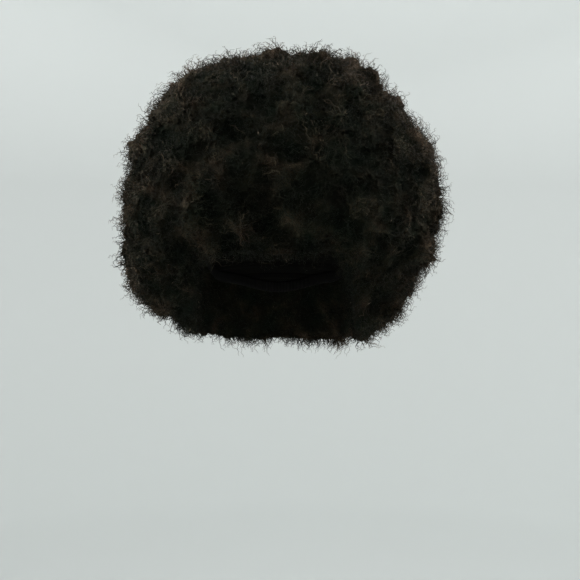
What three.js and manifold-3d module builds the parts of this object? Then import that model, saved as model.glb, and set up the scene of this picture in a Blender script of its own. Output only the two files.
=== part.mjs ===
// Afro wig: a round mass of frizzy hair on a sewn net cap, whose edge is bound with a folded band.
// Millimetres, +Z up. The origin is the inside of the cap's crown, where it sits on a head.
// The face opening looks along -Y, and +X is the wearer's left.
import * as THREE from "three";
import { mergeVertices } from "three/addons/utils/BufferGeometryUtils.js";
import Module from "manifold-3d";

// The cap, measured inside: widest line at CAP_CROWN below the crown, longest drop at the nape
const CAP_WIDTH = 155;
const CAP_DEPTH = 195;
const CAP_CROWN = 95;
const CAP_DROP = 152;
const CAP_WALL = 1.5;
const NAPE_TAPER = 6;

// The cap's edge from the middle of the front round to the nape, alike on both sides:
// azimuth in degrees, and the drop below the crown as a share of CAP_DROP
const CAP_EDGE = [
  { azimuth: 0, drop: 0.46 },
  { azimuth: 48, drop: 0.5 },
  { azimuth: 74, drop: 0.78 },
  { azimuth: 97, drop: 0.68 },
  { azimuth: 124, drop: 0.9 },
  { azimuth: 180, drop: 1 },
];

// The binding band, folded over the cap's edge
const BAND_WIDTH = 11;
const BAND_THICKNESS = 1;
const CLEARANCE = 0.3;

// The hair: its length out from the cap, and how far a head's own form goes on below the cap
const HAIR_LENGTH = 105;
const HEAD_BELOW = 170;

// The hair's reach beyond the head's form, as shares of HAIR_LENGTH:
// polar is the angle in degrees from straight up, seen from the middle of the cap's widest line
const HAIR_SECTIONS = [
  { polar: 0, right: 0.89, left: 0.89, front: 0.89, back: 0.89 },
  { polar: 12, right: 0.95, left: 0.85, front: 0.86, back: 0.88 },
  { polar: 24, right: 0.97, left: 0.89, front: 0.83, back: 0.86 },
  { polar: 36, right: 0.93, left: 0.86, front: 0.78, back: 0.83 },
  { polar: 48, right: 0.86, left: 0.85, front: 0.72, back: 0.8 },
  { polar: 60, right: 0.88, left: 0.78, front: 0.65, back: 0.76 },
  { polar: 72, right: 0.83, left: 0.72, front: 0.57, back: 0.72 },
  { polar: 84, right: 0.78, left: 0.69, front: 0.42, back: 0.69 },
  { polar: 96, right: 0.67, left: 0.67, front: 0.2, back: 0.66 },
  { polar: 108, right: 0.54, left: 0.6, front: -0.1, back: 0.63 },
  { polar: 120, right: 0.46, left: 0.44, front: -0.3, back: 0.57 },
  { polar: 130, right: 0.3, left: 0.25, front: -0.4, back: 0.48 },
  { polar: 140, right: 0.16, left: 0.1, front: -0.4, back: 0.3 },
  { polar: 150, right: 0, left: 0, front: -0.4, back: 0 },
];

// The hair's locks, fused to the mass all over: blunt tufts whose sizes and lean vary by LOCK_SPREAD
const LOCK_COUNT = 172;
const LOCK_RADIUS = 27;
const LOCK_RISE = 10;
const LOCK_SPREAD = 0.35;
const LEAST_SHARE = 0.1;

// A lock's outline from its root in the mass to its tip, as shares of its radius and its rise
const LOCK_PROFILE = [
  { radius: 0, rise: -2.4 },
  { radius: 1, rise: -0.6 },
  { radius: 0.58, rise: 0.62 },
  { radius: 0, rise: 1 },
];

// The face opening, as wide as the cap: how far the fringe hangs below the cap's front edge and its
// locks below that, the round corner at the left, the slanted one at the right, and the back's place
const FRINGE_HANG = 22;
const FRINGE_LOCKS = 6;
const FACE_CORNER = 14;
const TEMPLE_SLANT = 17;
const TEMPLE_HEIGHT = 42;
const FACE_BACK = -12;

// How finely the round forms are drawn
const CAP_AZIMUTHS = 40;
const CAP_STEPS = 9;
const NECK_STEPS = 4;
const HAIR_AZIMUTHS = 26;
const HAIR_STEPS = 12;
const LOCK_SIDES = 6;
const CORNER_STEPS = 4;
const MERGE_DISTANCE = 1e-3;

// How far the cuts for the head and the face run past the hair
const BEYOND = 60;

const wasm = await Module();
wasm.setup();

const { lerp, smoothstep, radToDeg } = THREE.MathUtils;
const eased = (share) => smoothstep(share, 0, 1);

// A value from a table's column at a place between two rows, eased where it may have no corner.
function fromTable(table, key, column, at, easing = (share) => share) {
  const next = table.findIndex((row) => row[key] >= at);
  if (next === 0) return table[0][column];
  if (next < 0) return table.at(-1)[column];
  const [low, high] = [table[next - 1], table[next]];
  return lerp(low[column], high[column], easing((at - low[key]) / (high[key] - low[key])));
}

// A closed surface through rings of points. A ring of one point is a pole; a looped one has none.
// Each patch is split along its shorter diagonal, so walls that lie side by side bend alike.
function surfaceThrough(rings, looped = false) {
  const points = rings.flat();
  const starts = rings.map((_, row) => rings.slice(0, row).flat().length);
  const faces = [];
  const steps = Math.max(...rings.map((ring) => ring.length));
  const pairs = looped ? rings.length : rings.length - 1;
  for (let row = 0; row < pairs; row++) {
    const below = (row + 1) % rings.length;
    for (let step = 0; step < steps; step++) {
      const next = (step + 1) % steps;
      const [a, b] = [step, next].map((at) => starts[row] + (at % rings[row].length));
      const [c, d] = [step, next].map((at) => starts[below] + (at % rings[below].length));
      if (a === b) faces.push(a, c, d);
      else if (c === d) faces.push(a, c, b);
      else if (points[a].distanceTo(points[d]) < points[b].distanceTo(points[c])) faces.push(a, c, d, a, d, b);
      else faces.push(a, c, b, b, c, d);
    }
  }
  const geometry = new THREE.BufferGeometry();
  geometry.setAttribute("position", new THREE.Float32BufferAttribute(points.flatMap((p) => p.toArray()), 3));
  geometry.setIndex(faces);
  return geometry;
}

function ringOf(pointAt, steps = CAP_AZIMUTHS) {
  return Array.from({ length: steps }, (_, step) => pointAt((2 * Math.PI * step) / steps));
}

// A point on the head's form, offset outwards: bend is 0 at the crown and a quarter turn at the
// widest line, and goes on below it at the same rate, where the form draws in to the nape.
function headPoint(azimuth, bend, offset) {
  const below = Math.max(0, bend - Math.PI / 2);
  const round = Math.sin(Math.min(bend, Math.PI / 2));
  const drawnIn = NAPE_TAPER * eased((below * CAP_CROWN) / (CAP_DROP - CAP_CROWN));
  const up = Math.cos(Math.min(bend, Math.PI / 2));
  return new THREE.Vector3(
    (CAP_WIDTH / 2 - drawnIn + offset) * round * Math.sin(azimuth),
    -(CAP_DEPTH / 2 - drawnIn + offset) * round * Math.cos(azimuth),
    (CAP_CROWN + offset) * up - CAP_CROWN * (1 + below),
  );
}

// The bend at which the head's form lies at a given drop below the crown.
function bendAtDrop(drop) {
  if (drop <= CAP_CROWN) return Math.acos(1 - drop / CAP_CROWN);
  return Math.PI / 2 + drop / CAP_CROWN - 1;
}

function edgeBend(azimuth) {
  const degrees = radToDeg(azimuth);
  const fromFront = Math.min(degrees, 360 - degrees);
  return bendAtDrop(CAP_DROP * fromTable(CAP_EDGE, "azimuth", "drop", fromFront, eased));
}

// Rings down the head's form from below the crown to a distance above the cap's edge.
function ringsDownTo(aboveEdge, offset) {
  return Array.from({ length: CAP_STEPS }, (_, row) =>
    ringOf((azimuth) => {
      const bend = edgeBend(azimuth) - aboveEdge / CAP_CROWN;
      return headPoint(azimuth, (bend * (row + 1)) / CAP_STEPS, offset);
    }),
  );
}

// The cap is one thin shell of net: down its outside, round its edge and back up inside.
function capGeometry() {
  const edge = (offset) => ringOf((azimuth) => headPoint(azimuth, edgeBend(azimuth), offset));
  return surfaceThrough([
    [headPoint(0, 0, CAP_WALL)],
    ...ringsDownTo(BAND_WIDTH, CAP_WALL),
    edge(CAP_WALL),
    edge(0),
    ...ringsDownTo(BAND_WIDTH, 0).reverse(),
    [headPoint(0, 0, 0)],
  ]);
}

// The band folds over the cap's edge, one leg outside and one inside.
const BAND_INNER = -CLEARANCE - BAND_THICKNESS;
const BAND_OUTER = CAP_WALL + CLEARANCE + BAND_THICKNESS;

function bandGeometry() {
  const line = (fromEdge, offset) =>
    ringOf((azimuth) => headPoint(azimuth, edgeBend(azimuth) + fromEdge / CAP_CROWN, offset));
  return surfaceThrough(
    [
      line(-BAND_WIDTH, BAND_OUTER),
      line(0, BAND_OUTER),
      line(CLEARANCE + BAND_THICKNESS, CAP_WALL / 2),
      line(0, BAND_INNER),
      line(-BAND_WIDTH, BAND_INNER),
      line(-BAND_WIDTH, -CLEARANCE),
      line(CLEARANCE, -CLEARANCE),
      line(CLEARANCE, CAP_WALL + CLEARANCE),
      line(-BAND_WIDTH, CAP_WALL + CLEARANCE),
    ],
    true,
  );
}

const CUT_FLOOR = -CAP_DROP - HAIR_LENGTH - BEYOND;

// The room that the head, the cap and its band take up inside the hair, open downwards.
function headRoom() {
  const overBand = BAND_WIDTH + 2 * CLEARANCE;
  const deepest = bendAtDrop(CAP_DROP + BAND_WIDTH);
  const underBand = (azimuth) => edgeBend(azimuth) + (2 * CLEARANCE + BAND_THICKNESS) / CAP_CROWN;
  const pastEdge = Array.from({ length: NECK_STEPS }, (_, row) =>
    ringOf((azimuth) => {
      const bend = lerp(underBand(azimuth), deepest, row / (NECK_STEPS - 1));
      return headPoint(azimuth, bend, BAND_OUTER + CLEARANCE);
    }),
  );
  const bottom = ringOf((azimuth) => headPoint(azimuth, deepest, BAND_OUTER + CLEARANCE).setZ(CUT_FLOOR));
  return surfaceThrough([
    [headPoint(0, 0, CAP_WALL + CLEARANCE)],
    ...ringsDownTo(overBand, CAP_WALL + CLEARANCE),
    ringsDownTo(overBand, BAND_OUTER + CLEARANCE).at(-1),
    ...pastEdge,
    bottom,
    [new THREE.Vector3(0, 0, CUT_FLOOR)],
  ]);
}

// The face opening is an arch, cut back from the front to just before the ears.
function faceRoom(inset) {
  const left = -CAP_WIDTH / 2 + inset;
  const right = CAP_WIDTH / 2 - inset;
  const top = -CAP_DROP * CAP_EDGE[0].drop - FRINGE_HANG - inset;
  const outline = new THREE.Shape();
  outline.moveTo(left, CUT_FLOOR);
  outline.lineTo(right, CUT_FLOOR);
  outline.lineTo(right, top - TEMPLE_HEIGHT);
  outline.lineTo(right - TEMPLE_SLANT, top);
  outline.lineTo(left + FACE_CORNER, top);
  outline.absarc(left + FACE_CORNER, top - FACE_CORNER, FACE_CORNER, Math.PI / 2, Math.PI, false);
  const depth = CAP_DEPTH / 2 + HAIR_LENGTH + BEYOND + FACE_BACK;
  const cut = new THREE.ExtrudeGeometry(outline, { depth, bevelEnabled: false, curveSegments: CORNER_STEPS });
  return cut.rotateX(Math.PI / 2).translate(0, FACE_BACK, 0);
}

const MIDDLE = new THREE.Vector3(0, 0, -CAP_CROWN);

function hairDirection(azimuth, polar) {
  return new THREE.Vector3(
    Math.sin(polar) * Math.sin(azimuth),
    -Math.sin(polar) * Math.cos(azimuth),
    Math.cos(polar),
  );
}

// The hair's share of its length in one direction, eased from each side round to the next.
function hairShare(azimuth, polar) {
  const degrees = radToDeg(polar);
  const across = Math.sin(azimuth) > 0 ? "right" : "left";
  const along = Math.cos(azimuth) > 0 ? "front" : "back";
  return lerp(
    fromTable(HAIR_SECTIONS, "polar", along, degrees),
    fromTable(HAIR_SECTIONS, "polar", across, degrees),
    Math.sin(azimuth) ** 2,
  );
}

// A point on the outside of the hair's mass.
function hairPoint(azimuth, polar) {
  const direction = hairDirection(azimuth, polar);
  const height = polar < Math.PI / 2 ? CAP_CROWN : HEAD_BELOW;
  const head = 1 / Math.hypot(direction.x / (CAP_WIDTH / 2), direction.y / (CAP_DEPTH / 2), direction.z / height);
  return direction.multiplyScalar(head + HAIR_LENGTH * hairShare(azimuth, polar)).add(MIDDLE);
}

function hairMass() {
  const rings = Array.from({ length: HAIR_STEPS }, (_, row) => {
    const polar = (Math.PI * (row + 1)) / (HAIR_STEPS + 1);
    return ringOf((azimuth) => hairPoint(azimuth, polar), HAIR_AZIMUTHS);
  });
  return surfaceThrough([[hairPoint(0, 0)], ...rings, [hairPoint(0, Math.PI)]]);
}

// A number from 0 to 1 that differs from lock to lock and is the same every time.
const SCATTER = { perLock: 12.9898, perUse: 78.233, spread: 43758.5453 };

function scatter(lock, use) {
  const value = Math.sin(lock * SCATTER.perLock + use * SCATTER.perUse) * SCATTER.spread;
  return value - Math.floor(value);
}

// One lock: a blunt tuft, drawn to a point inside the mass and round outside it.
function lockGeometry(lock) {
  const radius = LOCK_RADIUS * (1 - LOCK_SPREAD * scatter(lock, 1));
  const rise = LOCK_RISE * (1 - LOCK_SPREAD + 2 * LOCK_SPREAD * scatter(lock, 2));
  const profile = LOCK_PROFILE.map((row) => new THREE.Vector2(row.radius * radius, row.rise * rise));
  return new THREE.LatheGeometry(profile, LOCK_SIDES).rotateX(Math.PI / 2);
}

// Locks lie on a spiral from the crown down, one after another at the golden angle.
function lockGeometries() {
  const goldenAngle = Math.PI * (3 - Math.sqrt(5));
  const locks = [];
  for (let lock = 0; lock < LOCK_COUNT; lock++) {
    const polar = Math.acos(1 - (2 * (lock + 0.5)) / LOCK_COUNT);
    const azimuth = (lock * goldenAngle) % (2 * Math.PI);
    if (hairShare(azimuth, polar) < LEAST_SHARE) continue;
    const root = hairPoint(azimuth, polar);
    const frame = new THREE.Object3D();
    frame.position.copy(root);
    frame.lookAt(root.clone().multiplyScalar(2).sub(MIDDLE));
    frame.rotateZ(2 * Math.PI * scatter(lock, 3));
    frame.rotateX(LOCK_SPREAD * (scatter(lock, 4) - 0.5));
    frame.updateMatrix();
    locks.push(lockGeometry(lock).applyMatrix4(frame.matrix));
  }
  return locks;
}

function solidOf(geometry) {
  const bare = geometry.clone();
  bare.deleteAttribute("normal");
  bare.deleteAttribute("uv");
  const merged = mergeVertices(bare, MERGE_DISTANCE);
  const mesh = new wasm.Mesh({
    numProp: 3,
    vertProperties: merged.attributes.position.array,
    triVerts: new Uint32Array(merged.index.array),
  });
  return new wasm.Manifold(mesh);
}

function geometryOf(solid) {
  const { vertProperties, triVerts, numProp } = solid.getMesh();
  const points = new THREE.InterleavedBuffer(vertProperties, numProp);
  const geometry = new THREE.BufferGeometry();
  geometry.setAttribute("position", new THREE.InterleavedBufferAttribute(points, 3, 0));
  geometry.setIndex(new THREE.BufferAttribute(triVerts, 1));
  return geometry.toNonIndexed();
}

// The main body of a cut solid, without the crumbs of locks that the cut leaves loose.
function largestOf(solid) {
  return solid.decompose().reduce((a, b) => (a.volume() > b.volume() ? a : b));
}

// The mass is opened for the face, its locks are fused on, and the room for the head is cut last.
function hairGeometry() {
  let hair = solidOf(hairMass()).subtract(solidOf(faceRoom(0)));
  for (const lock of lockGeometries()) hair = hair.add(solidOf(lock));
  hair = hair.subtract(solidOf(faceRoom(FRINGE_LOCKS))).subtract(solidOf(headRoom()));
  return geometryOf(largestOf(hair));
}

const netMaterial = new THREE.MeshStandardMaterial({ color: 0x17120f, roughness: 0.9, metalness: 0 });
const bandMaterial = new THREE.MeshStandardMaterial({ color: 0x120f0e, roughness: 0.75, metalness: 0 });
const hairMaterial = new THREE.MeshStandardMaterial({ color: 0x1c1512, roughness: 0.8, metalness: 0 });

function piece(name, geometry, material) {
  const mesh = new THREE.Mesh(geometry, material);
  mesh.name = name;
  return mesh;
}

const wig = new THREE.Group();
wig.add(
  piece("cap", capGeometry(), netMaterial),
  piece("edge_band", bandGeometry(), bandMaterial),
  piece("hair", hairGeometry(), hairMaterial),
);

export default wig;
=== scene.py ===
import math

import bpy
import numpy as np
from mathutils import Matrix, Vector


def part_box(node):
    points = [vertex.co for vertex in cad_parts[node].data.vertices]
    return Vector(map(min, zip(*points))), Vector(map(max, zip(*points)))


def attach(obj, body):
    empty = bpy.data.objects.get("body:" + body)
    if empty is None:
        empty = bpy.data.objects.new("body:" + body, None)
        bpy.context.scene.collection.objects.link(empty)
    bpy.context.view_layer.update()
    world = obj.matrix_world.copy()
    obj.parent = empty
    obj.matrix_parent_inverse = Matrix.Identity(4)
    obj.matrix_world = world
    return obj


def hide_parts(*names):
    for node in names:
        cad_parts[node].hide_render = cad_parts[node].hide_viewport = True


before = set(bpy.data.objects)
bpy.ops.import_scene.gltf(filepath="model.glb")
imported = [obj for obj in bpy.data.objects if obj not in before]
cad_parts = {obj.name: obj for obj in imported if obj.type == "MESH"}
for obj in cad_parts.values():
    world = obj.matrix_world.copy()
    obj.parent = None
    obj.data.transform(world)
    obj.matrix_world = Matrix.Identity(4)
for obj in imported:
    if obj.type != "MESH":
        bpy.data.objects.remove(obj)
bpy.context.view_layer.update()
bpy.ops.object.select_all(action="DESELECT")

# The camera
# It stands level with the upper half of the wig, a little to its left side, and looks slightly down.
# Its lens and its distance give the wig the size and the slight narrowing that it has in the picture.
CAMERA_PLACE = Vector((0.013, -0.950, -0.022))
CAMERA_AIM = Vector((0.013, 0.0, -0.139))
CAMERA_LENS = 59.2

bpy.ops.object.camera_add(location=CAMERA_PLACE)
camera = bpy.context.active_object
camera.rotation_euler = (CAMERA_AIM - CAMERA_PLACE).to_track_quat("-Z", "Y").to_euler()
camera.data.lens = CAMERA_LENS
camera.data.sensor_width = 36
bpy.context.scene.camera = camera

# The studio
# A round cove of pale board, wide enough to walk round inside, lit by large soft lamps, with painted light
# and shade on the board.
# Its floor lies well below the wig, which hangs where a head would hold it. Three narrow warm lamps
# stand behind the wig and shine through the loose hair at its outline.
FLOOR_HEIGHT = -1.9
FLOOR_RADIUS = 1.9
COVE_BEND = 0.6
COVE_STEPS = 10
COVE_SIDES = 96
COVE_TOP = 3.6
BOARD_COLOUR = (0.585, 0.607, 0.599)
# painted light and shade on the board: a little paler or darker from one height to the next, and paler to
# one side
TONES_FROM = -1.5
TONES_OVER = 3
BOARD_PAINTED_SHADING = [
    # height as a share of the toned range, how pale the painted light or shade makes it
    (0.0, 0.985),
    (0.09, 1.045),
    (0.29, 0.99),
    (0.48, 0.925),
    (0.60, 1.06),
    (0.70, 1.17),
]
BOARD_PAINTED_SIDE_LIGHT = 0.03
AIR_COLOUR = (0.97, 0.99, 1.0)
AIR_GLOW = 0.49
LAMPS = [
    # name, place, aimed at, width, watts
    ("top_lamp", (0.1, -0.1, 1.9), (0, 0, 0), 1.4, 2),
    ("left_lamp", (-1.7, 0.0, 0.9), (0, 0, -0.08), 1.0, 46),
    ("right_lamp", (1.7, 0.1, 0.9), (0, 0, -0.08), 1.0, 31),
    ("front_lamp", (-0.6, -2.0, 0.9), (0, 0, -0.08), 1.2, 9),
    ("back_lamp", (0.2, 1.8, 1.3), (0, 0, 0.0), 0.9, 28),
]
RIM_CONE = 11
RIM_LAMPS = [
    # name, place, aimed at, width, watts
    ("left_rim_lamp", (-1.44, 1.44, 0.47), (0, 0, -0.07), 0.30, 430),
    ("right_rim_lamp", (1.44, 1.44, 0.47), (0, 0, -0.07), 0.30, 400),
    ("top_rim_lamp", (0.1, 1.9, 0.9), (0, 0, -0.05), 0.30, 100),
]
WARM = (1.0, 0.82, 0.62)


def finish_for(name, roughness, shine):
    """A new material, with its nodes, its links and its shader."""
    material = bpy.data.materials.new(name)
    material.use_nodes = True
    tree = material.node_tree
    shader = tree.nodes["Principled BSDF"]
    shader.inputs["Roughness"].default_value = roughness
    shader.inputs["Specular IOR Level"].default_value = shine
    return material, tree.nodes, tree.links, shader


def own_place(nodes, links):
    """The piece's own coordinates, whole and as X, Y and Z."""
    place = nodes.new("ShaderNodeTexCoord").outputs["Object"]
    axes = nodes.new("ShaderNodeSeparateXYZ")
    links.new(place, axes.inputs[0])
    return place, axes.outputs


def maths(nodes, links, operation, first, second=0.0, third=0.0):
    """One Math node on sockets or numbers, and its result."""
    node = nodes.new("ShaderNodeMath")
    node.operation = operation
    for socket, value in zip(node.inputs, (first, second, third)):
        if isinstance(value, (int, float)):
            socket.default_value = value
        else:
            links.new(value, socket)
    return node.outputs[0]


def ramp(nodes, links, value, stops):
    """A colour ramp over (place, colour) stops, and its colour."""
    node = nodes.new("ShaderNodeValToRGB")
    while len(node.color_ramp.elements) < len(stops):
        node.color_ramp.elements.new(0.5)
    for element, (place, colour) in zip(node.color_ramp.elements, stops):
        element.position = place
        element.color = (*colour, 1)
    links.new(value, node.inputs["Fac"])
    return node.outputs["Color"]


bpy.ops.mesh.primitive_circle_add(
    vertices=COVE_SIDES, radius=FLOOR_RADIUS, fill_type="NGON", location=(0, 0, FLOOR_HEIGHT)
)
cove = bpy.context.active_object
cove.name = "studio_cove"
bpy.ops.object.mode_set(mode="EDIT")
bpy.ops.mesh.select_mode(type="EDGE")
reach = FLOOR_RADIUS
for step in range(1, COVE_STEPS + 1):
    turn = math.pi / 2 * step / COVE_STEPS
    before = math.pi / 2 * (step - 1) / COVE_STEPS
    rise = COVE_BEND * (math.cos(before) - math.cos(turn))
    bpy.ops.mesh.extrude_edges_move(TRANSFORM_OT_translate={"value": (0, 0, rise)})
    wider = FLOOR_RADIUS + COVE_BEND * math.sin(turn)
    bpy.ops.transform.resize(value=(wider / reach, wider / reach, 1))
    reach = wider
bpy.ops.mesh.extrude_edges_move(TRANSFORM_OT_translate={"value": (0, 0, COVE_TOP)})
bpy.ops.object.mode_set(mode="OBJECT")
bpy.ops.object.transform_apply(location=True, rotation=True, scale=True)
bpy.ops.object.shade_smooth_by_angle(angle=math.radians(40))
board, nodes, links, shader = finish_for("pale_board", roughness=0.9, shine=0.1)
place, axes = own_place(nodes, links)
# painted light and shade: the board is paler or darker by height and paler to one side
up_the_board = maths(nodes, links, "MULTIPLY_ADD", axes["Z"], 1 / TONES_OVER, -TONES_FROM / TONES_OVER)
painted_board_colours = [(height, [pale * channel for channel in BOARD_COLOUR]) for height, pale in BOARD_PAINTED_SHADING]
painted_light = nodes.new("ShaderNodeVectorMath")
painted_light.operation = "SCALE"
links.new(ramp(nodes, links, up_the_board, painted_board_colours), painted_light.inputs[0])
links.new(maths(nodes, links, "MULTIPLY_ADD", axes["X"], BOARD_PAINTED_SIDE_LIGHT, 1.0), painted_light.inputs["Scale"])
links.new(painted_light.outputs[0], shader.inputs["Base Color"])
cove.data.materials.append(board)

air = bpy.data.worlds.new("studio_air")
air.use_nodes = True
air.node_tree.nodes["Background"].inputs["Color"].default_value = (*AIR_COLOUR, 1)
air.node_tree.nodes["Background"].inputs["Strength"].default_value = AIR_GLOW
bpy.context.scene.world = air
bpy.context.scene.view_settings.view_transform = "Standard"


def hang_lamp(kind, name, place, aim, watts):
    """A lamp turned towards its aim and hidden from the camera, and its light."""
    bpy.ops.object.light_add(type=kind, location=place)
    lamp = bpy.context.active_object
    lamp.name = name
    lamp.rotation_euler = (Vector(aim) - Vector(place)).to_track_quat("-Z", "Y").to_euler()
    lamp.visible_camera = False
    lamp.data.energy = watts
    return lamp.data


for name, place, aim, width, watts in LAMPS:
    soft = hang_lamp("AREA", name, place, aim, watts)
    soft.shape = "DISK"
    soft.size = width
for name, place, aim, width, watts in RIM_LAMPS:
    narrow = hang_lamp("SPOT", name, place, aim, watts)
    narrow.color = WARM
    narrow.spot_size = math.radians(RIM_CONE)
    narrow.shadow_soft_size = width

# The cap
# A soft stretch net, knitted of fine black yarn, shaped to the head and 1.5 mm thick.
# Rows of folded weft are sewn on it from the crown to the nape, and the hair hangs from them.
ROOT = "root"
WELD = 1e-5
PATTERN_RADIUS = 0.088
NET_PITCH = 0.0022
WEFT_PITCH = 0.0125
WEFT_STANDS = 2.0
WEFT_TOP, WEFT_ROUNDING = 0.6, 0.2
WEFT_TONE, YARN_TONE = 0.45, 0.5
NET_COLOURS = [
    (0.0, (0.0120, 0.0112, 0.0098)),
    (0.5, (0.0042, 0.0040, 0.0034)),
    (1.0, (0.0105, 0.0092, 0.0078)),
]

cap_low, cap_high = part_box("cap")


def copy_of(node, name):
    """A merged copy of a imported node's mesh, to be shaped further."""
    bpy.ops.object.select_all(action="DESELECT")
    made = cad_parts[node].copy()
    made.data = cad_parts[node].data.copy()
    made.name = made.data.name = name
    made.parent = None
    for key in list(made.keys()):
        del made[key]
    bpy.context.collection.objects.link(made)
    made.select_set(True)
    bpy.context.view_layer.objects.active = made
    bpy.ops.object.mode_set(mode="EDIT")
    bpy.ops.mesh.select_all(action="SELECT")
    bpy.ops.mesh.remove_doubles(threshold=WELD)
    bpy.ops.object.mode_set(mode="OBJECT")
    made.data.materials.clear()
    return made


def rounded_off(piece):
    """Rounds a piece's flat facets off."""
    rounding = piece.modifiers.new("rounding", "SUBSURF")
    rounding.levels = rounding.render_levels = 1
    bpy.ops.object.modifier_apply(modifier=rounding.name)
    bpy.ops.object.shade_smooth()


def raised(nodes, links, shader, height, distance, strength=1.0):
    """Raises a surface by a pattern's height."""
    bump = nodes.new("ShaderNodeBump")
    bump.inputs["Distance"].default_value = distance
    bump.inputs["Strength"].default_value = strength
    links.new(height, bump.inputs["Height"])
    links.new(bump.outputs["Normal"], shader.inputs["Normal"])


cap = copy_of("cap", "cap_net")
rounded_off(cap)
net, nodes, links, shader = finish_for("stretch_net", roughness=0.85, shine=0.06)
place, axes = own_place(nodes, links)
round_head = maths(nodes, links, "ARCTAN2", axes["X"], axes["Y"])
across = maths(nodes, links, "MULTIPLY", round_head, PATTERN_RADIUS / NET_PITCH * math.pi)
down = maths(nodes, links, "MULTIPLY", axes["Z"], math.pi / NET_PITCH)
rising = maths(nodes, links, "SINE", maths(nodes, links, "ADD", across, down))
rising = maths(nodes, links, "ABSOLUTE", rising)
falling = maths(nodes, links, "SINE", maths(nodes, links, "SUBTRACT", across, down))
falling = maths(nodes, links, "ABSOLUTE", falling)
yarn = maths(nodes, links, "MINIMUM", rising, falling)
weft_turns = maths(nodes, links, "MULTIPLY", axes["Z"], 2 * math.pi / WEFT_PITCH)
row = maths(nodes, links, "SINE", weft_turns)
weft = maths(nodes, links, "MAXIMUM", row, 0.0)
weft = maths(nodes, links, "SMOOTH_MIN", weft, WEFT_TOP, WEFT_ROUNDING)
height = maths(nodes, links, "MULTIPLY_ADD", weft, WEFT_STANDS, yarn)
tone = maths(nodes, links, "MULTIPLY", yarn, YARN_TONE)
tone = maths(nodes, links, "MULTIPLY_ADD", weft, WEFT_TONE, tone)
links.new(ramp(nodes, links, tone, NET_COLOURS), shader.inputs["Base Color"])
raised(nodes, links, shader, height, distance=0.0006, strength=0.9)
cap.data.materials.append(net)
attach(cap, ROOT)
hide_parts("cap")

# The edge band
# Ribbed elastic tape, folded over the cap's edge and sewn through, which grips the head.
RIB_PITCH = 0.0016
RIB_TONE = 0.3
FUZZ_SCALE = 900
TAPE_COLOURS = [(0.2, (0.0030, 0.0028, 0.0027)), (0.9, (0.0110, 0.0100, 0.0095))]

band = copy_of("edge_band", "edge_binding")
rounded_off(band)
tape, nodes, links, shader = finish_for("ribbed_elastic", roughness=0.7, shine=0.08)
place, axes = own_place(nodes, links)
round_head = maths(nodes, links, "ARCTAN2", axes["X"], axes["Y"])
rib_turns = maths(nodes, links, "MULTIPLY", round_head, PATTERN_RADIUS * 2 * math.pi / RIB_PITCH)
ribs = maths(nodes, links, "SINE", rib_turns)
fuzz = nodes.new("ShaderNodeTexNoise")
fuzz.inputs["Scale"].default_value = FUZZ_SCALE
links.new(place, fuzz.inputs["Vector"])
tone = maths(nodes, links, "MULTIPLY_ADD", ribs, RIB_TONE, fuzz.outputs["Fac"])
links.new(ramp(nodes, links, tone, TAPE_COLOURS), shader.inputs["Base Color"])
raised(nodes, links, shader, ribs, distance=0.0004)
band.data.materials.append(tape)
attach(band, ROOT)
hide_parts("edge_band")

# The mass of hair
# Crimped synthetic fibre, teased out from the wefts until it stands all round as one soft mass.
# Its packed form is remeshed finely, softened, and drawn in to where the fibres close up.
MASS_VOXEL = 0.0033
# the rounded room of the cap, which the mass stays clear of
HEAD_CENTRE = -0.095
HEAD_DEEPER = 0.020
MASS_GAP = 0.0027
# the mass is loose away from the cap, half as loose along its lower rim, and softest at the rim
LOOSE_FROM, LOOSE_OVER = 1.1, 0.25
NAPE_RIM = -0.195
RIM_LOOSE_ABOVE = 0.035
RIM_SOFT_ABOVE = 0.012
RIM_FADE = 0.01
RIM_LOOSENESS = 0.5
SOFTENED = [
    # name, group it works on, passes
    ("soft_edges", "", 25),
    ("soft_locks", "bulk", 60),
    ("soft_rim", "rim", 120),
]
# its lower edge is evened out, and it is drawn in to where the fibres close up
EVEN_BELOW = -0.200
EVENED = 0.45
CLOSES_AT = 0.0048
CLOSES_FROM, CLOSES_OVER = 1.04, 0.2
BROKEN_UP = [
    # name, size of the lumps, how far they stand out and sink in together
    ("tufts", 0.018, 0.014),
    ("frizz", 0.0045, 0.0105),
]
FULLER = [
    # where the hair stands out fuller, how wide, how far
    ((-0.080, 0.02, 0.080), 0.050, 0.010),
    ((0.085, 0.02, 0.088), 0.040, 0.006),
    ((0.145, 0.02, 0.005), 0.050, 0.010),
    ((-0.140, 0.02, 0.030), 0.040, 0.008),
    ((-0.150, 0.02, -0.020), 0.030, 0.005),
    ((-0.150, 0.03, -0.140), 0.040, 0.010),
    ((0.130, 0.03, -0.170), 0.035, 0.008),
]
# its colour has painted light where the tufts stand out and painted shade between them, with fine strands
# over all
RELIEF_SPREAD = 1.6
PAINTED_RELIEF_SHADE = 0.60
STRAND_NOISES = [
    # scale, twist
    (330, 2.5),
    (520, 2.0),
    (210, 3.0),
]
STRAND_THINNESS = 14.0
STRAND_PALER, MASS_TONE = 0.24, 0.12
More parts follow.
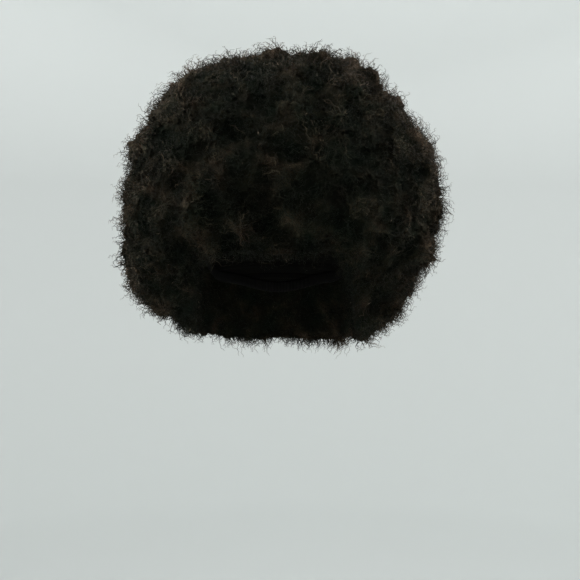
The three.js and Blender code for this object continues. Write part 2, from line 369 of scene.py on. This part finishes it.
# the dye's pale, dark and warm patches, and a painted glow, paler and browner, round the crown and sides
# away from the front-to-back middle, where light shines through the loose hair
PATCH_SCALE = 50
PATCH_CONTRAST = 4.0
PATCHES = 0.45
DARKEST_PATCH = 0.2
WARMTH_SCALE = 38
WARMTH_CONTRAST, WARMTH_SHIFT = 2.4, -0.7
RIM_GLOW_MIDDLE = -0.06
OUTER_FROM, OUTER_OVER = 0.130, 0.035
OUTER_PAINTED_GLOW = 0.35
OUTER_PAINTED_WARMTH = 0.6
OLIVE_BLACK = [
    (0.0, (0.0019, 0.0048, 0.0029)),
    (0.30, (0.0118, 0.0165, 0.0102)),
    (0.70, (0.072, 0.067, 0.042)),
    (1.0, (0.20, 0.17, 0.13)),
]
BROWN_BLACK = [
    (0.0, (0.0023, 0.0036, 0.0022)),
    (0.30, (0.0200, 0.0160, 0.0102)),
    (0.70, (0.098, 0.068, 0.045)),
    (1.0, (0.23, 0.17, 0.13)),
]


def read_vectors(items, name):
    """One vector property of all a mesh's items, as an array."""
    values = np.empty(len(items) * 3, np.float32)
    items.foreach_get(name, values)
    return values.reshape(-1, 3).astype(float)


half_width = (cap_high.x - cap_low.x) / 2
half_depth = half_width + HEAD_DEEPER


def head_share(places, gap):
    """How far each place lies from the head's middle, where 1 is the cap's outside plus a gap."""
    up = np.maximum(places[:, 2] - HEAD_CENTRE, 0) / (gap - HEAD_CENTRE)
    wide = places[:, 0] / (half_width + gap)
    deep = places[:, 1] / (half_depth + gap)
    return np.sqrt(wide**2 + deep**2 + up**2)


hair = copy_of("hair", "hair_mass")
remesh = hair.modifiers.new("fine_mesh", "REMESH")
remesh.mode = "VOXEL"
remesh.voxel_size = MASS_VOXEL
bpy.ops.object.modifier_apply(modifier=remesh.name)
places = read_vectors(hair.data.vertices, "co")
off_head = ((head_share(places, MASS_GAP) - LOOSE_FROM) / LOOSE_OVER).clip(0, 1)
loose_rim = ((NAPE_RIM + RIM_LOOSE_ABOVE - places[:, 2]) / RIM_FADE).clip(0, RIM_LOOSENESS)
soft_rim = ((NAPE_RIM + RIM_SOFT_ABOVE - places[:, 2]) / RIM_FADE).clip(0, 1)
for name, weights in (("bulk", np.maximum(off_head, loose_rim)), ("rim", soft_rim)):
    group = hair.vertex_groups.new(name=name)
    for index, weight in enumerate(weights):
        group.add([index], weight, "REPLACE")
for name, group, passes in SOFTENED:
    soften = hair.modifiers.new(name, "SMOOTH")
    soften.factor = 0.5
    soften.iterations = passes
    soften.vertex_group = group
    bpy.ops.object.modifier_apply(modifier=soften.name)
smooth_places = read_vectors(hair.data.vertices, "co")
smooth_normals = read_vectors(hair.data.vertices, "normal")
for name, size, strength in BROKEN_UP:
    clouds = bpy.data.textures.new(name, "CLOUDS")
    clouds.noise_scale = size
    clouds.noise_depth = 2
    push = hair.modifiers.new(name, "DISPLACE")
    push.texture = clouds
    push.strength = strength
    push.mid_level = 0.5
    push.vertex_group = "bulk"
    bpy.ops.object.modifier_apply(modifier=push.name)
    if name == "tufts":
        # the tufts' height, kept for painted shade between the tufts and painted light on them
        relief_shade = ((read_vectors(hair.data.vertices, "co") - smooth_places) * smooth_normals).sum(1)
        relief_shade = ((relief_shade - relief_shade.mean()) / (RELIEF_SPREAD * relief_shade.std())).clip(-1, 1)

places = read_vectors(hair.data.vertices, "co")
places[:, 2] = np.maximum(places[:, 2], EVEN_BELOW + EVENED * (places[:, 2] - EVEN_BELOW))
off_head = ((head_share(places, MASS_GAP) - CLOSES_FROM) / CLOSES_OVER).clip(0, 1)
inset = np.full(len(places), CLOSES_AT)
for spot, width, height in FULLER:
    inset -= height * np.exp(-(((places - spot) / width) ** 2).sum(1))
places -= read_vectors(hair.data.vertices, "normal") * (inset * off_head)[:, None]
share = np.maximum(head_share(places, MASS_GAP), 1e-6)
inside = share < 1
middle = np.stack([0 * share, 0 * share, np.minimum(places[:, 2], HEAD_CENTRE)], 1)
places[inside] = middle[inside] + (places[inside] - middle[inside]) / share[inside, None]
hair.data.vertices.foreach_set("co", places.astype(np.float32).ravel())
hair.data.update()
hair.data.attributes.new("relief_shade", "FLOAT", "POINT").data.foreach_set("value", relief_shade.astype(np.float32))
bpy.ops.object.shade_smooth()


def soft_noise(nodes, links, place, scale, detail, twist=0.0):
    """A noise texture over places, and its value."""
    noise = nodes.new("ShaderNodeTexNoise")
    noise.inputs["Scale"].default_value = scale
    noise.inputs["Detail"].default_value = detail
    noise.inputs["Distortion"].default_value = twist
    links.new(place, noise.inputs["Vector"])
    return noise.outputs["Fac"]


def hair_dye_and_rim_glow():
    """Near-black fibre, olive to warm brown in patches a tuft wide, with a painted glow, paler and browner,
    round the crown and sides.
    """
    dye_and_rim_glow = bpy.data.node_groups.new("hair_dye_and_rim_glow", "ShaderNodeTree")
    dye_and_rim_glow.interface.new_socket("Tone", in_out="INPUT", socket_type="NodeSocketFloat")
    dye_and_rim_glow.interface.new_socket("Patches", in_out="INPUT", socket_type="NodeSocketFloat")
    dye_and_rim_glow.interface.new_socket("Color", in_out="OUTPUT", socket_type="NodeSocketColor")
    nodes, links = dye_and_rim_glow.nodes, dye_and_rim_glow.links
    given = nodes.new("NodeGroupInput")
    place = nodes.new("ShaderNodeTexCoord").outputs["Object"]
    aside = nodes.new("ShaderNodeVectorMath")
    aside.operation = "MULTIPLY_ADD"
    links.new(place, aside.inputs[0])
    aside.inputs[1].default_value = (1, 0, 1)
    aside.inputs[2].default_value = (0, 0, -RIM_GLOW_MIDDLE)
    reach = nodes.new("ShaderNodeVectorMath")
    reach.operation = "LENGTH"
    links.new(aside.outputs[0], reach.inputs[0])
    # painted light: paler, warmer hair round the crown and sides, away from the front-to-back middle
    painted_rim_glow = maths(nodes, links, "SUBTRACT", reach.outputs["Value"], OUTER_FROM)
    painted_rim_glow = maths(nodes, links, "DIVIDE", painted_rim_glow, OUTER_OVER)
    painted_rim_glow = maths(nodes, links, "MINIMUM", maths(nodes, links, "MAXIMUM", painted_rim_glow, 0.0), 1.0)
    patch = soft_noise(nodes, links, place, PATCH_SCALE, 2)
    patch = maths(nodes, links, "MULTIPLY_ADD", patch, PATCH_CONTRAST, -PATCH_CONTRAST / 2)
    patch = maths(nodes, links, "MULTIPLY_ADD", patch, given.outputs["Patches"], 1.0)
    patch = maths(nodes, links, "MULTIPLY_ADD", painted_rim_glow, OUTER_PAINTED_GLOW, patch)
    patch = maths(nodes, links, "MAXIMUM", patch, DARKEST_PATCH)
    tone = maths(nodes, links, "MULTIPLY", given.outputs["Tone"], patch)
    warmth = soft_noise(nodes, links, place, WARMTH_SCALE, 2)
    warmth = maths(nodes, links, "MULTIPLY_ADD", warmth, WARMTH_CONTRAST, WARMTH_SHIFT)
    warmth = maths(nodes, links, "MULTIPLY_ADD", painted_rim_glow, OUTER_PAINTED_WARMTH, warmth)
    mix = nodes.new("ShaderNodeMix")
    mix.data_type = "RGBA"
    links.new(warmth, mix.inputs["Factor"])
    links.new(ramp(nodes, links, tone, OLIVE_BLACK), mix.inputs["A"])
    links.new(ramp(nodes, links, tone, BROWN_BLACK), mix.inputs["B"])
    links.new(mix.outputs["Result"], nodes.new("NodeGroupOutput").inputs["Color"])
    return dye_and_rim_glow


def dyed_with_rim_glow(nodes, links, tone):
    """The dye's colour for a tone, with the painted rim glow."""
    node = nodes.new("ShaderNodeGroup")
    node.node_tree = dye_and_rim_glow
    links.new(tone, node.inputs["Tone"])
    node.inputs["Patches"].default_value = PATCHES
    return node.outputs["Color"]


dye_and_rim_glow = hair_dye_and_rim_glow()
frizz, nodes, links, shader = finish_for("frizzy_hair", roughness=0.8, shine=0.04)
place = nodes.new("ShaderNodeTexCoord").outputs["Object"]
strands = 0.0
for scale, twist in STRAND_NOISES:
    noise = soft_noise(nodes, links, place, scale, 1, twist)
    ridge = maths(nodes, links, "ABSOLUTE", maths(nodes, links, "SUBTRACT", noise, 0.5))
    thin = maths(nodes, links, "SUBTRACT", 1.0, maths(nodes, links, "MULTIPLY", ridge, STRAND_THINNESS))
    strands = maths(nodes, links, "MAXIMUM", thin, strands)
tone = maths(nodes, links, "MULTIPLY_ADD", strands, STRAND_PALER, MASS_TONE)
# painted shade between the tufts and painted light on them, from their height
own_relief_shade = nodes.new("ShaderNodeAttribute")
own_relief_shade.attribute_name = "relief_shade"
relief_shading = maths(nodes, links, "MULTIPLY_ADD", own_relief_shade.outputs["Fac"], PAINTED_RELIEF_SHADE, 1.0)
tone = maths(nodes, links, "MULTIPLY", tone, relief_shading)
links.new(dyed_with_rim_glow(nodes, links, tone), shader.inputs["Base Color"])
raised(nodes, links, shader, strands, distance=0.0010)
hair.data.materials.append(frizz)
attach(hair, ROOT)
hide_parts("hair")

# The loose curls
# Single crimped fibres stand out of the mass all over, most of them short and a few long.
# Each is a thin closed thread wound in a loose curl, rooted in the mass and thinner to its tip.
SIDES = 3
ROOT_DEPTH = 0.002
SEED = 7
# curls that stand near each other lean and rise alike, in tufts
TUFT_PITCH = 0.024
TUFT_CHANGES, TUFT_LIMIT = 0.25, 1.5
LEAN_WAVES, FULLNESS_WAVES = 12, 8
WAVE_SPREAD = (0.8, 1.6)
# where the lining, the lower rim and the underside are, and how thickly the curls stand there
SECTORS = 72
UNDER_EDGE = 0.004
LINING_WITHIN = 1.06
FACES_DOWN = -0.35
UNDER_CAP, AT_RIM, IN_LINING, ON_UNDERSIDE = 0, 6.0, 1.3, 1.5
CROPPED_TO = 0.7
RIM_FLARE = 0.8
# one curl: how it stands on the mass, opens, leans over, sways and thins
FOLLOWS_FACE = 0.35
STRAY = 0.8
FLATTEST_COIL = 0.35
COIL_OPENS_BY = 3
COIL_CHANGES = (0.7, 1.3)
SWAY = 0.003
UPRIGHT_BY = 1.35
THINNER_TO_TIP = 0.65
# each curl has its own tone, which changes along it, with painted light high up, painted shade low down and
# a painted glint here and there
CURL_TONE, CURL_TONE_SPREAD, CURL_TONE_DRIFT = 0.16, 0.35, 0.09
CURL_TONE_SKEW = (2.2, 3.4)
ALONG_TONES = (0.75, 1.15)
LOW_PAINTED_SHADE, TALLEST, TALL_PAINTED_LIGHT = 0.78, 0.012, 0.036
FIBRE_TONE, PAINTED_GLINTS = 0.85, 0.007
TILE_MARGIN, TILE_FILLED = 0.1, 0.8
# the curls are joined in bunches: the crown above a height, and four quarters round a middle
CROWN_HEIGHT = 0.030
MIDDLE_DEPTH = 0.03
BUNCHES = ("curls_crown", "curls_front", "curls_back", "curls_left", "curls_right")
CURL_KINDS = [
    # how many, rings, how high, how far along, turns, curl radius, thickness at the root
    (12500, 5, (0.001, 0.006), (0.005, 0.011), (1.0, 1.5), (0.0009, 0.0016), (0.00035, 0.00044)),
    (9500, 8, (0.003, 0.010), (0.007, 0.016), (1.6, 2.4), (0.0009, 0.0017), (0.00032, 0.00041)),
    (3500, 11, (0.006, 0.013), (0.009, 0.019), (2.4, 3.4), (0.0008, 0.0016), (0.00027, 0.00035)),
]

rng = np.random.default_rng(SEED)
hair.data.calc_loop_triangles()
corners = np.empty(len(hair.data.loop_triangles) * 3, np.int32)
hair.data.loop_triangles.foreach_get("vertices", corners)
faces = places[corners.reshape(-1, 3)]
face_across = np.cross(faces[:, 1] - faces[:, 0], faces[:, 2] - faces[:, 0])
area = np.linalg.norm(face_across, axis=1) / 2
outward = face_across / np.maximum(2 * area, 1e-12)[:, None]
centre = faces.mean(1)
face_relief_shade = relief_shade[corners.reshape(-1, 3)].mean(1)
growing = smooth_normals[corners.reshape(-1, 3)].mean(1) + FOLLOWS_FACE * outward
growing /= np.linalg.norm(growing, axis=1)[:, None]


def sector(places):
    """The sector round the head that each place lies in."""
    return ((np.arctan2(places[:, 0], -places[:, 1]) / (2 * math.pi) + 0.5) * SECTORS).astype(int) % SECTORS


def unit(vectors):
    """The same vectors, each of length 1."""
    return vectors / np.maximum(np.linalg.norm(vectors, axis=-1, keepdims=True), 1e-12)


def drift_field(pitch, ways):
    """A smooth field of vectors that turns over about a pitch, so that near curls lean alike."""
    waves = [
        unit(rng.normal(size=3)) * 2 * math.pi / (pitch * rng.uniform(*WAVE_SPREAD))
        for wave in range(ways)
    ]
    offsets = rng.uniform(0, 2 * math.pi, ways)
    pulls = rng.normal(size=(ways, 3)) / math.sqrt(ways)

    def drift(places):
        return sum(
            np.sin(places @ wave + offset)[:, None] * pull
            for wave, offset, pull in zip(waves, offsets, pulls)
        )

    return drift


net_places = read_vectors(cap.data.vertices, "co")
edge_height = np.full(SECTORS, np.inf)
np.minimum.at(edge_height, sector(net_places), net_places[:, 2])
next_to_head = head_share(centre, MASS_GAP) < LINING_WITHIN
below_edge = centre[:, 2] < edge_height[sector(centre)] - UNDER_EDGE
lining = next_to_head & below_edge
cropped = lining & (centre[:, 2] > NAPE_RIM)
underside = (outward[:, 2] < FACES_DOWN) & ~next_to_head
rim = ~next_to_head & (centre[:, 2] < NAPE_RIM) | lining & (centre[:, 2] < EVEN_BELOW)
growing[rim] = unit(growing[rim] + RIM_FLARE * unit(centre[rim] * (1, 1, 0)))
weight = area * np.select(
    [next_to_head & ~below_edge, rim, lining, underside], [UNDER_CAP, AT_RIM, IN_LINING, ON_UNDERSIDE], 1
)
combed = drift_field(TUFT_PITCH, LEAN_WAVES)
tufted = drift_field(TUFT_PITCH, FULLNESS_WAVES)


def thread_round(path, out, girth):
    """The points of a closed thread round each path: its rings in order, then its tip."""
    heading = unit(np.gradient(path, axis=1))
    beside = unit(out - heading * (out * heading).sum(-1, keepdims=True))
    above = np.cross(heading, beside)
    turned = 2 * math.pi * np.arange(SIDES) / SIDES
    around = np.cos(turned)[:, None] * beside[:, :-1, None] + np.sin(turned)[:, None] * above[:, :-1, None]
    tube = path[:, :-1, None] + girth[:, :-1, None, None] * around
    return np.concatenate([tube.reshape(len(path), -1, 3), path[:, -1:]], 1)


def curl_tones(tone, rise):
    """The tone of each point of each curl, with painted light the higher it stands, painted shade low down
    and a painted glint here and there.
    """
    count, rings = rise.shape
    # painted light: paler the higher the curl stands, darker in painted shade near the mass
    painted_light = LOW_PAINTED_SHADE + rise.clip(0, TALLEST) / TALL_PAINTED_LIGHT
    tones = tone[:, None] * rng.uniform(*ALONG_TONES, (count, rings)) * painted_light
    painted_glint = (rng.random(count) < PAINTED_GLINTS)[:, None]
    painted_glint = painted_glint & (np.arange(rings) == rng.integers(1, rings, count)[:, None])
    tones = np.where(painted_glint, 1.0, FIBRE_TONE * tones.clip(0, 1))
    return np.concatenate([np.repeat(tones[:, :-1], SIDES, axis=1), tones[:, -1:]], 1)


def wind_curls(count, rings, heights, lengths, turns, radii, girths):
    """Roots, points and tones of one kind of curl, as arrays with a row for each curl."""
    chosen = rng.choice(len(area), count, p=weight / weight.sum())
    pick = rng.random((count, 2))
    flip = pick.sum(1) > 1
    pick[flip] = 1 - pick[flip]
    tri = faces[chosen]
    root = tri[:, 0] + pick[:, :1] * (tri[:, 1] - tri[:, 0]) + pick[:, 1:] * (tri[:, 2] - tri[:, 0])
    normal = growing[chosen]
    leaning = combed(root) + STRAY * rng.normal(size=(count, 3))
    leaning = unit(leaning - normal * (leaning * normal).sum(1, keepdims=True))
    tuft = 1 + TUFT_CHANGES * tufted(root)[:, 0].clip(-TUFT_LIMIT, TUFT_LIMIT)
    tuft = tuft * np.where(cropped[chosen], CROPPED_TO, 1)
    height = rng.uniform(*heights, count) * tuft
    length = rng.uniform(*lengths, count) * tuft
    axis = unit(normal * height[:, None] + leaning * length[:, None])
    first = unit(np.cross(axis, rng.normal(size=(count, 3))))
    second = np.cross(axis, first) * rng.uniform(FLATTEST_COIL, 1, (count, 1))
    sway = unit(rng.normal(size=(count, 3))) * rng.uniform(0, SWAY, count)[:, None]

    along = np.linspace(0, 1, rings)
    start = rng.uniform(0, 2 * math.pi, count)[:, None]
    winding = start + 2 * math.pi * rng.uniform(*turns, count)[:, None] * along
    swell = rng.uniform(*radii, count)[:, None] * np.sqrt(np.minimum(along * COIL_OPENS_BY, 1))
    swell = swell * rng.uniform(*COIL_CHANGES, (count, rings))
    out = np.cos(winding)[..., None] * first[:, None] + np.sin(winding)[..., None] * second[:, None]
    upright = np.sin(np.minimum(UPRIGHT_BY * along, 1) * math.pi / 2)
    rise = (height + ROOT_DEPTH)[:, None] * upright - ROOT_DEPTH
    path = (
        root[:, None]
        + normal[:, None] * rise[..., None]
        + leaning[:, None] * (length[:, None] * along)[..., None]
        + out * swell[..., None]
        + sway[:, None] * (along**2)[None, :, None]
    )
    girth = rng.uniform(*girths, count)[:, None] * (1 - THINNER_TO_TIP * along)
    tone = CURL_TONE + CURL_TONE_SPREAD * rng.beta(*CURL_TONE_SKEW, count)
    tone = tone + CURL_TONE_DRIFT * tufted(root)[:, 1]
    # painted shade between the mass's tufts and painted light on them
    tone *= 1 + PAINTED_RELIEF_SHADE * face_relief_shade[chosen]
    return root, thread_round(path, out, girth), curl_tones(tone, rise)


def faces_of_curl(rings):
    """One curl's faces: rings joined in order, a point at the tip and a closed root."""
    joined = [
        (
            ring * SIDES + side,
            ring * SIDES + (side + 1) % SIDES,
            (ring + 1) * SIDES + (side + 1) % SIDES,
            (ring + 1) * SIDES + side,
        )
        for ring in range(rings - 2)
        for side in range(SIDES)
    ]
    last = (rings - 2) * SIDES
    tip = [(last + side, last + (side + 1) % SIDES, last + SIDES) for side in range(SIDES)]
    return joined + tip + [tuple(reversed(range(SIDES)))]


def curl_piece(name, bunches):
    """One mesh of curls of every kind, with a tile of its map for each curl."""
    tile_rows = math.ceil(math.sqrt(sum(len(points) for rings, points, tones in bunches)))
    vertices, loops, counts, tone_values, tiles = [], [], [], [], []
    vertex_total = tile_total = 0
    for rings, points, tones in bunches:
        faces_here = faces_of_curl(rings)
        corner_list = np.array([corner for face in faces_here for corner in face])
        shift = vertex_total + np.arange(len(points))[:, None] * points.shape[1]
        vertices.append(points.reshape(-1, 3))
        loops.append((corner_list[None] + shift).ravel())
        counts.append(np.tile([len(face) for face in faces_here], len(points)))
        tone_values.append(tones.ravel())
        tile = tile_total + np.arange(len(points))
        up = np.minimum(corner_list // SIDES, rings - 1) / (rings - 1)
        side = corner_list % SIDES / SIDES
        u = (tile % tile_rows)[:, None] + TILE_MARGIN + TILE_FILLED * up[None]
        v = (tile // tile_rows)[:, None] + TILE_MARGIN + TILE_FILLED * side[None]
        tiles.append(np.stack([u, v], -1).reshape(-1, 2) / tile_rows)
        vertex_total += points.shape[0] * points.shape[1]
        tile_total += len(points)
    counts = np.concatenate(counts)
    mesh = bpy.data.meshes.new(name)
    mesh.vertices.add(vertex_total)
    mesh.vertices.foreach_set("co", np.concatenate(vertices).astype(np.float32).ravel())
    mesh.loops.add(int(counts.sum()))
    mesh.loops.foreach_set("vertex_index", np.concatenate(loops).astype(np.int32))
    mesh.polygons.add(len(counts))
    mesh.polygons.foreach_set("loop_start", (np.cumsum(counts) - counts).astype(np.int32))
    mesh.update(calc_edges=True)
    mesh.validate()
    flat = mesh.uv_layers.new(name="OFBake")
    flat.uv.foreach_set("vector", np.concatenate(tiles).astype(np.float32).ravel())
    tone_layer = mesh.attributes.new("tone", "FLOAT", "POINT")
    tone_layer.data.foreach_set("value", np.concatenate(tone_values).astype(np.float32))
    mesh.polygons.foreach_set("use_smooth", np.ones(len(mesh.polygons), bool))
    mesh.materials.append(fibre)
    piece = bpy.data.objects.new(name, mesh)
    bpy.context.collection.objects.link(piece)
    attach(piece, ROOT)


fibre, nodes, links, shader = finish_for("crimped_fibre", roughness=0.6, shine=0.06)
own_tone = nodes.new("ShaderNodeAttribute")
own_tone.attribute_name = "tone"
links.new(dyed_with_rim_glow(nodes, links, own_tone.outputs["Fac"]), shader.inputs["Base Color"])

kinds = [(kind[1], *wind_curls(*kind)) for kind in CURL_KINDS]


def region(root):
    """Which of the five bunches a root falls in: the crown, or a quarter round it."""
    back = root[:, 1] - MIDDLE_DEPTH
    front_or_back = np.where(back < 0, 1, 2)
    left_or_right = np.where(root[:, 0] < 0, 3, 4)
    quarter = np.where(np.abs(root[:, 0]) < np.abs(back), front_or_back, left_or_right)
    return np.where(root[:, 2] > CROWN_HEIGHT, 0, quarter)


for number, name in enumerate(BUNCHES):
    bunches = []
    for rings, root, points, tones in kinds:
        here = region(root) == number
        bunches.append((rings, points[here], tones[here]))
    curl_piece(name, bunches)
